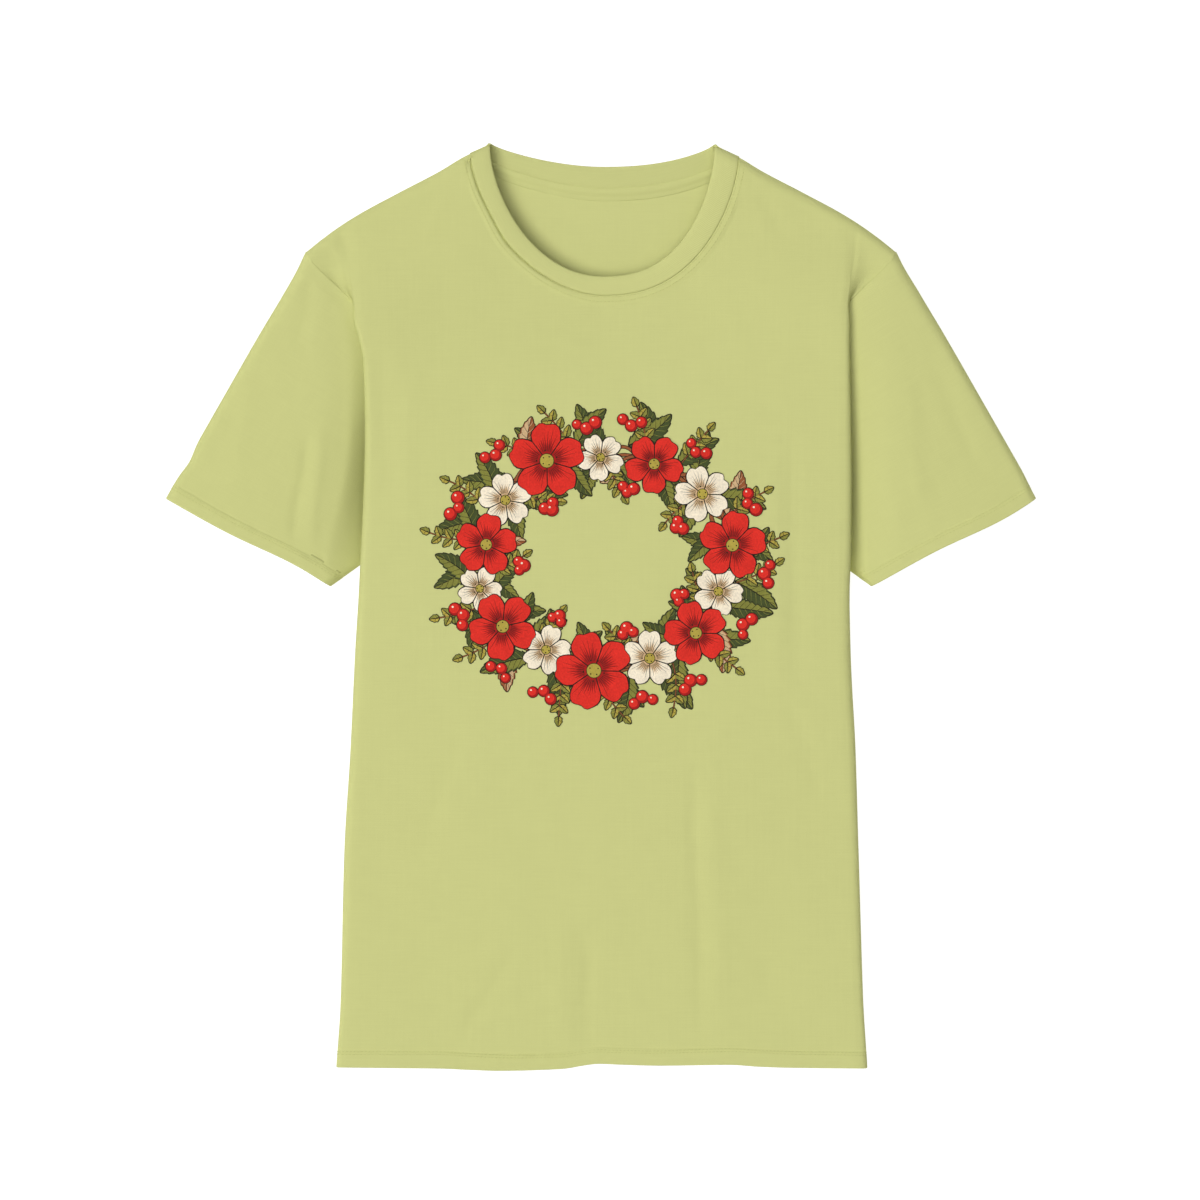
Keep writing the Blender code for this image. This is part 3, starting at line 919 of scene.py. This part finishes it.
def noise(tree, place, across, up):
    """Noise in bumps this long across and up the cloth."""
    scale = (1 / across, 1 / up, 1.0)
    stretch = add_node(tree, "ShaderNodeMapping", {"Vector": place, "Scale": scale})
    inputs = {"Vector": stretch.outputs[0], "Scale": 1.0, "Detail": 2.0}
    return add_node(tree, "ShaderNodeTexNoise", inputs).outputs[0]


def knit_loops(tree, place, wale, course):
    """The height of knitted loops, 0 to 1: columns of stacked Vs."""
    split = add_node(tree, "ShaderNodeSeparateXYZ", {0: place})
    column = calc(tree, "FRACT", calc(tree, "DIVIDE", split.outputs[0], wale))
    aside = calc(tree, "ABSOLUTE", calc(tree, "SUBTRACT", column, 0.5))
    turn = calc(tree, "ADD", calc(tree, "DIVIDE", split.outputs[1], course), aside)
    loop = calc(tree, "SINE", calc(tree, "MULTIPLY", turn, 2 * math.pi))
    crest = calc(tree, "COSINE", calc(tree, "MULTIPLY", aside, math.pi))
    return calc(tree, "MULTIPLY", crest, calc(tree, "MULTIPLY_ADD", loop, 0.25, 0.75))


def new_material(name, roughness, specular):
    material = bpy.data.materials.new(name)
    material.use_nodes = True
    shader = material.node_tree.nodes["Principled BSDF"].inputs
    shader["Roughness"].default_value = roughness
    shader["Specular IOR Level"].default_value = specular
    return material, shader


def plain_material(name, colour, roughness, specular):
    material, shader = new_material(name, roughness, specular)
    shader["Base Color"].default_value = (*colour, 1.0)
    return material, shader


def knit_material(name, colour, knit, grain, contrast, heights, depth, finish):
    """Matt knitted cloth, or ink through which it shows, paler and darker by a few noises."""
    material, shader = new_material(name, *finish)
    tree = material.node_tree
    place = add_node(tree, "ShaderNodeUVMap", {}, uv_map="cloth").outputs[0]
    total = 0.0
    for across, up, share in grain:
        total = calc(tree, "MULTIPLY_ADD", noise(tree, place, across, up), share, total)
    tone = calc(tree, "MULTIPLY_ADD", calc(tree, "SUBTRACT", total, 0.5), contrast, 1.0)
    tinted = add_node(tree, "ShaderNodeVectorMath", {0: colour, "Scale": tone}, operation="SCALE")
    tree.links.new(tinted.outputs[0], shader["Base Color"])
    loops = calc(tree, "MULTIPLY", knit_loops(tree, place, *knit), heights[1])
    height = calc(tree, "MULTIPLY_ADD", total, heights[0], loops)
    bump = add_node(tree, "ShaderNodeBump", {"Height": height, "Distance": depth, "Strength": 1.0})
    tree.links.new(bump.outputs[0], shader["Normal"])
    return material


# The shirt's pieces


def neck_relief(x, distance):
    """The neck seam's groove, deeper and wider in places, with the doubled cloth beside it."""
    left = smooth(-x / NECK_LEFT)
    right = ease(x, *NECK_RIGHT)
    width, wider_left, wider_right = NECK_GROOVE_WIDTH
    width = width + (wider_left * left + wider_right * right)
    groove = (NECK_GROOVE[0] + NECK_GROOVE[1] * left) * bell(distance, width)
    return NECK_RIDGE * ease(distance, *NECK_RIDGE_ENDS) - groove


def seam_distance(x, y):
    """How far each place is from the neck seam."""
    line = vectors(*neck_point(np.linspace(0, np.pi, 241), SEAM_HALF, FRONT_SEAM))
    far = np.full(x.shape, 1.0)
    up, radius = NECK_CIRCLE
    near = np.hypot(x - NECK_MIDDLE, y - FRONT_SEAM[0] - up) < radius
    places = vectors(x[near], y[near])
    far[near] = np.min(np.linalg.norm(places[:, None] - line[None], axis=-1), axis=1)
    return far


def with_relief(grid, relief, loops, turned):
    """The grid, moved out by the relief where it faces up."""
    facing = outward(grid, loops, turned)
    upward = np.clip(facing[..., 2:], 0, 1) ** 2
    return grid + facing * relief[..., None] * upward


def front_cloth():
    grid = panel_grid(FRONT_HEM, FRONT_SEAM, front_edge, FRONT_CORNER, front_height, front_strip)
    x, y = grid[..., 0], grid[..., 1]
    least, more, place, width = FRONT_PUCKERS
    puckers = least + more * bell(x - place, width)
    relief = soft_folds(x, y, BODY_FOLDS) + cloth_noise(x, y)
    relief = relief + hem_relief(y - grid[:1, :, 1], x, puckers, FRONT_GROOVE, HEM_LIFT)
    relief = relief + shoulder_puckers(x, y) + neck_relief(x, seam_distance(x, y))
    return with_relief(grid, relief, False, False)


def back_cloth():
    grid = panel_grid(BACK_HEM, BACK_SEAM, back_edge, BACK_CORNER, back_height, back_strip)
    x, y = grid[..., 0], grid[..., 1]
    share, lower, inside = BACK_NOISE
    relief = share * cloth_noise(x, y + 1.0) - lower
    relief = relief * smooth(from_shoulder(x, y) / inside)
    return grid - vectors(0 * x, 0 * x, np.minimum(relief, 0.0))


def sleeve_pressed(grid, side):
    """The share of its height that the sleeve loses beside the front's fold and under it."""
    x, y = np.abs(grid[..., 0]), grid[..., 1]
    outside = np.clip((x - fold_x(y, side)) / through(PRESS_WIDTH[side], y), 0, 1)
    lost = through(PRESS_DEPTH[side], y) / (2 * SLEEVE_ROLL) * (1 - outside) ** PRESS_POWER
    from_seam = x - through(SEAM, y)
    return lost * smooth(from_seam / PRESS_START) * ease(y, *PRESS_ENDS)


def sleeve_cloth(side):
    """The sleeve from its hem up to the armhole."""
    grid = sleeve_grid(side)[::-1]
    x, y = grid[..., 0], grid[..., 1]
    distance, around = run_length(grid, 0), run_length(grid, 1)
    relief = soft_folds(x, y, SLEEVE_FOLDS) + cloth_noise(x, y)
    pressed = SLEEVE_PUCKERS[side], SLEEVE_GROOVE[side], SLEEVE_LIFT[side]
    relief = relief + hem_relief(distance, around, *pressed)
    from_seam = distance[-1:] - distance
    relief = relief + SEAM_STEP[side] * ease(from_seam, *SEAM_STEP_RUN)
    cloth = with_relief(grid, relief, True, side > 0)
    cloth[..., 2] *= 1 - sleeve_pressed(grid, side)
    return cloth


def neck_line(surface, distance):
    """A row of stitches on the front, this far outside the neck seam."""
    turn = np.radians(np.linspace(4, 176, 300))
    line = vectors(*neck_point(turn, SEAM_HALF, FRONT_SEAM))
    out = line + distance * line_ways(line)[1]
    return on_top(surface, out[:, 0], out[:, 1])


def hem_lines(grid, facing):
    """The two rows of stitches along a hem, on the outer face."""
    distance = run_length(grid, 0)[:, grid.shape[1] // 2]
    rows = [int(np.argmin(np.abs(distance - row))) for row in HEM_STITCHES]
    return [(grid[r], facing[r]) for r in rows]


def make_panel(name, grid, material, turned):
    grid = with_end_lip(with_side_lips(grid, turned), False, turned)
    whole = with_hem(grid, False, turned)
    places = panel_places(whole, len(whole) - len(grid))
    return make_sheet(name, whole, places, JERSEY, material, turned=turned)


def build_shirt():
    jersey = knit_material("jersey", JERSEY_COLOUR, JERSEY_KNIT, **CLOTH_LOOK)
    rib = knit_material("rib", JERSEY_COLOUR, RIB_KNIT, **CLOTH_LOOK)
    thread, _ = plain_material("thread", THREAD_COLOUR, *THREAD_FINISH)
    front, back = front_cloth(), back_cloth()
    surface = surface_of(front)
    rows = hem_lines(front, outward(front, False, False))
    rows += [neck_line(surface, distance) for distance in NECK_STITCHES]
    band, tape = neckband_grid(), tape_grid()
    ribs = vectors(run_length(band, 0), run_length(band, 1))
    made = {
        "front_cloth": make_panel("front_cloth", front, jersey, False),
        "back_cloth": make_panel("back_cloth", back, jersey, True),
        "neck_rib": make_sheet("neck_rib", band, ribs, RIB, rib, ring=True),
        "back_tape": make_sheet("back_tape", tape, run_places(tape), TAPE, jersey),
    }
    for name, side in (("left", -1), ("right", 1)):
        grid = sleeve_cloth(side)
        turned = side > 0
        rows += hem_lines(grid, outward(grid, True, turned))
        whole = with_hem(with_end_lip(grid, True, turned), True, turned)
        piece = f"sleeve_cloth_{name}"
        made[piece] = make_sheet(
            piece, whole, run_places(whole), JERSEY, jersey, loops=True, turned=turned
        )
    made["stitching"] = thread_object("stitching", rows, thread)
    return made, surface


# The print: a wreath of leaves, flowers and berries. Each shape is a grid of points in plan, in
# one ink and on one step above the cloth, drawn along +X and then moved into the wreath.

WREATH_MIDDLE = (0.003, 0.037)
WREATH_REACH = np.array([0.0985, 0.0865])
INK_BASE = 0.00012
INK_STEP = 0.000022
INK_EDGE = 0.00055
HATCH = 0.00042
TEETH = 8
PETALS = 5
FLOWER_EYE = 0.2
FLOWER_DOTS = 9
LEAVES = 64
SPRIGS = 22
BERRY_RADII = (0.0038, 0.0052)

# Leaves and sprigs that lean out of the wreath, and into it: how far outside its line each starts,
# and its length
OUTER_LEAF = (0.007, 0.036, 0.042)
INNER_LEAF = (-0.006, 0.029, 0.035)
OUTER_SPRIG = (0.008, 0.034)
INNER_SPRIG = (-0.008, 0.028)

# A leaf: the shares across its upper half of the paler part's rows, its midrib's width from end to
# end, how far apart its veins are, and how far along each runs
LEAF_LIGHT = (0.86, 0.45, 0.06)
MIDRIB = (0.001, 0.0004)
VEIN_PITCH = 0.005
VEIN_RUN = 0.13

# Steps at which each kind of motif above the twigs starts, so that no two lie at one height
LEAF_STEP, SPRIG_STEP, BERRY_STEP, CREAM_STEP, RED_STEP = 6, 14, 18, 22, 28

# Flowers and berries of the wreath: degrees round it, how far outside its line, radius (mm)
RED_FLOWERS = [
    (8, 4, 27), (66, -2, 23.5), (117, 3, 30), (171, -3, 24.5), (216, 2, 27), (265, 1, 31),
    (318, -1, 25.5),
]
CREAM_FLOWERS = [
    (38, 0, 22.5), (92, -4, 19), (145, -2, 21.5), (194, 4, 18), (240, -5, 20), (292, -3, 22.5),
    (343, -4, 20),
]
BERRY_BUNCHES = [
    (24, 30), (53, 26), (80, 27), (97, 24), (133, 33), (158, 31), (184, -30), (203, 28), (229, 31),
    (247, 30), (284, 29), (303, 31), (333, 29), (355, 33), (30, -29), (75, -26), (130, -29),
    (236, -30), (285, -27), (330, -28),
]


def wreath_place(turn, outside):
    reach = WREATH_REACH + np.asarray(outside)[..., None]
    return WREATH_MIDDLE + reach * polar(1.0, turn)


def strip(line, width, columns=2):
    """A strip along a line of points, this wide at each of them."""
    share = np.linspace(0.5, -0.5, columns)[None, :, None]
    width = np.broadcast_to(width, len(line))[:, None, None]
    return line[:, None] + line_ways(line)[1][:, None] * share * width


def disc(radius, at=(0.0, 0.0), cells=4):
    """A disc as a grid: a square whose sides are bowed out to a circle."""
    v, u = np.meshgrid(*[np.linspace(-1, 1, cells + 1)] * 2)
    return np.array(at) + radius * vectors(v * np.sqrt(1 - u**2 / 2), u * np.sqrt(1 - v**2 / 2))


def moved(shapes, first_step, at, angle):
    """Shapes drawn along +X, turned by an angle, moved to a place and put on their steps."""
    cos, sin = np.cos(angle), np.sin(angle)
    turn = np.array([[cos, sin], [-sin, cos]])
    return [(ink, first_step + step, grid @ turn + at) for ink, step, grid in shapes]


def leaf(length, width, bend, dark, light, teeth=TEETH):
    """A leaf with a toothed edge, its upper half paler, with a midrib and side veins."""
    places = np.array([(k + part) / teeth for k in range(teeth) for part in (0.0, 0.55, 0.93)] + [1.0])
    tooth = 0.88 + 0.24 * (places * teeth % 1.0)
    half = width / 2 * np.sin(np.pi * places**0.8) ** 0.75 * tooth
    middle = vectors(length * places, bend * length * np.sin(np.pi * places * 0.9))
    ahead, across = line_ways(middle)
    upper = middle[:, None] + across[:, None] * half[:, None, None] * np.array(LEAF_LIGHT)[:, None]
    reach = middle + ahead * np.linspace(-1, 1, len(places))[:, None] * INK_EDGE
    shapes = [
        ("outline", 0, strip(reach, 2 * half + 2 * INK_EDGE, 7)),
        (dark, 1, strip(middle, 2 * half, 7)),
        (light, 2, upper),
        ("outline", 3, strip(middle, np.linspace(*MIDRIB, len(places)))),
    ]
    veins = max(2, round(length / VEIN_PITCH))
    for k in range(1, veins):
        start = k / (veins + 0.6)
        along = np.linspace(start, start + VEIN_RUN, 4)
        base, out = [
            vectors(*[np.interp(along, places, part[:, axis]) for axis in (0, 1)])
            for part in (middle, across)
        ]
        reach = np.interp(along, places, half) * np.linspace(0, 0.84, 4)
        for side, ink in ((-1, light), (1, "outline")):
            vein = base + side * out * reach[:, None]
            shapes.append((ink, 3, strip(vein, np.linspace(HATCH, HATCH / 2, 4))))
    return shapes


def petal(angle, inner, outer, spread, rows=9, columns=15, gap=0.0):
    """A petal's part from one reach to another, each a function of the share across it."""
    across = np.linspace(1, -1, columns)[None, :]
    reach = mix(inner(across), outer(across), np.linspace(0, 1, rows)[:, None])
    return polar(reach, angle + across * (spread - gap / reach))


def flower(radius, fill, deep, notch, ruffle):
    """Five petals parted by dark lines, shaded from the middle, round a dotted centre."""
    spread = math.pi / PETALS

    def edge(across):
        ends = 1 - 0.36 * np.abs(across) ** 2.8
        dip = notch * bell(across, 0.16)
        return radius * (ends - dip + ruffle * np.sin(9 * across))

    def start(across):
        return 0.1 * radius + 0 * across

    def grown(across):
        return edge(across) + INK_EDGE * (1 + 1.6 * np.abs(across) ** 3)

    def shaded(across):
        return edge(across) * (0.4 + 0.24 * np.abs(np.sin(5.5 * np.pi * across)))

    shapes = []
    for k in range(PETALS):
        angle = 2 * spread * k
        shapes.append(("outline", 0, petal(angle, start, grown, spread)))
        shapes.append((fill, 1, petal(angle, start, edge, spread, gap=HATCH)))
        shapes.append((deep, 2, petal(angle, start, shaded, spread, 5, 23, gap=HATCH)))
        for share in (-0.72, -0.4, -0.12, 0.14, 0.42, 0.7):
            reach = radius * np.linspace(0.25, 0.66 + 0.16 * math.cos(3.1 * share + k), 5)
            turn = angle + share * spread * np.linspace(0.8, 0.92, 5)
            shapes.append(("outline", 3, strip(polar(reach, turn), np.linspace(HATCH, HATCH / 3, 5))))
    shapes.append(("outline", 3, disc(FLOWER_EYE * radius)))
    shapes.append(("mustard", 4, disc(FLOWER_EYE * radius - INK_EDGE)))
    for k in range(FLOWER_DOTS):
        ring = radius * (0.12 if k % 2 else 0.27)
        dot = disc(0.0006, polar(ring, 2 * math.pi * k / FLOWER_DOTS), 2)
        shapes.append(("outline", 5, dot))
    return shapes


def berry(radius):
    """A round berry, shaded on the lower right, with a small highlight."""
    return [
        ("outline", 0, disc(radius + INK_EDGE)),
        ("deep_red", 1, disc(radius)),
        ("red", 2, disc(0.78 * radius, (-0.13 * radius, 0.13 * radius))),
        ("cream", 3, disc(0.17 * radius, (-0.36 * radius, 0.38 * radius), 2)),
    ]


def sprig(length, pairs, bend):
    """A thin stem with pairs of small oval leaves and one at its tip."""
    along = np.linspace(0, 1, 14)
    stem = vectors(length * along, bend * length * along**2)
    shapes = [("outline", 0, strip(stem, 0.0013)), ("brown", 1, strip(stem, 0.0006))]
    for k in range(pairs + 1):
        share = (k + 1) / (pairs + 1)
        at = np.array([length * share, bend * length * share**2])
        lean = math.atan(2 * bend * share)
        small = leaf(0.0105 - 0.0025 * share, 0.0058, 0.0, "olive", "mustard", 3)
        for side in ((-1, 1) if k < pairs else (0,)):
            shapes += moved(small, 0, at, lean + side * math.radians(52))
    return shapes


def twigs():
    """Three wavy stems that wind round each other all the way round the wreath."""
    turn = np.linspace(0, 2 * math.pi, 260)
    shapes = []
    for k in range(3):
        wave = 0.0052 * np.sin((7 + k) * turn + 2.1 * k) + 0.0016 * np.sin(23 * turn + k)
        line = wreath_place(turn, wave)
        width = 0.0023 + 0.0004 * np.sin(17 * turn)
        shapes.append(("outline", 2 * k, strip(line, width + 2 * INK_EDGE)))
        shapes.append(("brown", 2 * k + 1, strip(line, width)))
    return shapes


def wreath_leaves(rng):
    """Big leaves that lean out of the wreath on both sides, with a few that have turned brown."""
    shapes = []
    for k in range(LEAVES):
        outer = k % 2 == 0
        turn = 2 * math.pi * (k + rng.uniform(-0.25, 0.25)) / LEAVES
        outside, *lengths = OUTER_LEAF if outer else INNER_LEAF
        at = wreath_place(turn, outside)
        out = math.atan2(math.sin(turn), math.cos(turn) * WREATH_REACH[1] / WREATH_REACH[0])
        lean = math.radians(rng.uniform(18, 52)) * (1 if k % 4 < 2 else -1)
        angle = out + lean if outer else out + math.pi - lean
        length = rng.uniform(*lengths)
        inks = ("brown", "tan") if k % 9 == 4 else ("green", "olive")
        first = LEAF_STEP + 4 * (k // 2 % 2)
        bend = rng.uniform(-0.1, 0.1)
        shapes += moved(leaf(length, 0.42 * length, bend, *inks), first, at, angle)
    return shapes


def wreath_shapes():
    rng = np.random.default_rng(12)
    shapes = twigs() + wreath_leaves(rng)
    for k in range(SPRIGS):
        outer = k % 3 != 2
        turn = math.radians(360 * k / SPRIGS + 6)
        outside, length = OUTER_SPRIG if outer else INNER_SPRIG
        at = wreath_place(turn, outside)
        angle = turn + rng.uniform(-0.5, 0.5) + (0 if outer else math.pi)
        shapes += moved(sprig(length, 3, rng.uniform(-0.3, 0.3)), SPRIG_STEP, at, angle)
    for degrees, outside in BERRY_BUNCHES:
        for k in range(3):
            turn = math.radians(degrees) + 0.06 * (k - 1)
            at = wreath_place(turn, mm(outside - 4.2 * (k == 1)))
            shapes += moved(berry(rng.uniform(*BERRY_RADII)), BERRY_STEP, at, 0.0)
    kinds = [
        (CREAM_FLOWERS, CREAM_STEP, ("cream", "tan", 0.1, 0.012)),
        (RED_FLOWERS, RED_STEP, ("red", "deep_red", 0.05, 0.02)),
    ]
    for flowers, step, look in kinds:
        for degrees, outside, radius in flowers:
            at = wreath_place(math.radians(degrees), mm(outside))
            shapes += moved(flower(mm(radius), *look), step, at, rng.uniform(0, math.pi))
    return shapes


def ink_object(name, ink, shapes, surface):
    """All the shapes of one ink, laid on the cloth."""
    parts = []
    for step, grid in shapes:
        place = on_top(surface, grid[..., 0], grid[..., 1])[0]
        place[..., 2] += INK_BASE + step * INK_STEP
        parts.append((place.reshape(-1, 3), grid_faces(*grid.shape[:2])))
    points, faces = joined(parts)
    return new_object(name, points, faces, ink, points[:, :2])


def build_print(surface):
    shapes = wreath_shapes()
    made = {}
    for ink, colour in INKS.items():
        drawn = [(step, grid) for used, step, grid in shapes if used == ink]
        name = f"print_{ink}"
        material = knit_material(f"ink_{ink}", colour, JERSEY_KNIT, **INK_LOOK)
        made[name] = ink_object(name, material, drawn, surface)
    return made


# Floor, light and camera

# The white paper that the shirt lies on: colour, roughness and specular, and how much it glows
FLOOR_REACH = 8.0
PAPER = ((0.3, 0.3, 0.3), 1.0, 0.5)
PAPER_GLOW = 0.88


def build_stage():
    corners = FLOOR_REACH * np.array([(-1, -1, 0), (1, -1, 0), (1, 1, 0), (-1, 1, 0)])
    paper, shader = plain_material("paper", *PAPER)
    shader["Emission Color"].default_value = (1.0, 1.0, 1.0, 1.0)
    shader["Emission Strength"].default_value = PAPER_GLOW
    floor = new_object("floor", corners, np.array([[0, 1, 2, 3]]), paper)


def build_lights():
    world = bpy.data.worlds.new("studio")
    world.use_nodes = True
    sky = world.node_tree.nodes["Background"].inputs
    sky["Color"].default_value = (1.0, 1.0, 1.0, 1.0)
    sky["Strength"].default_value = SKY
    bpy.context.scene.world = world
    for name, (power, spread, place) in LAMPS.items():
        light = bpy.data.lights.new(name, "SUN")
        light.angle = spread
        light.energy = power
        lamp = linked(name, light)
        lamp.location = place
        lamp.rotation_mode = "QUATERNION"
        lamp.rotation_quaternion = (-lamp.location).to_track_quat("-Z", "Y")


def build_camera():
    lens = bpy.data.cameras.new("camera")
    lens.lens = LENS
    lens.sensor_width = SENSOR
    camera = linked("camera", lens)
    camera.location = (*FRAME_MIDDLE, FRAME_HEIGHT + FRAME_SIDE * LENS / SENSOR)
    bpy.context.scene.camera = camera


def main():
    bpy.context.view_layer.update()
    pieces, surface = build_shirt()
    prints = build_print(surface)
    stands_for = {
        "front_cloth": "front_panel", "back_cloth": "back_panel", "neck_rib": "neckband",
        "back_tape": "neck_tape", "sleeve_cloth_left": "sleeve_left",
        "sleeve_cloth_right": "sleeve_right",
    }
    for name, piece in pieces.items():
        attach(piece, "root")
        if name in stands_for:
            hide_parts(stands_for[name])
    for piece in prints.values():
        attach(piece, "root")
    build_stage()
    build_lights()
    build_camera()
    scene = bpy.context.scene
    scene.view_settings.view_transform = "Standard"
    bpy.context.view_layer.update()


main()
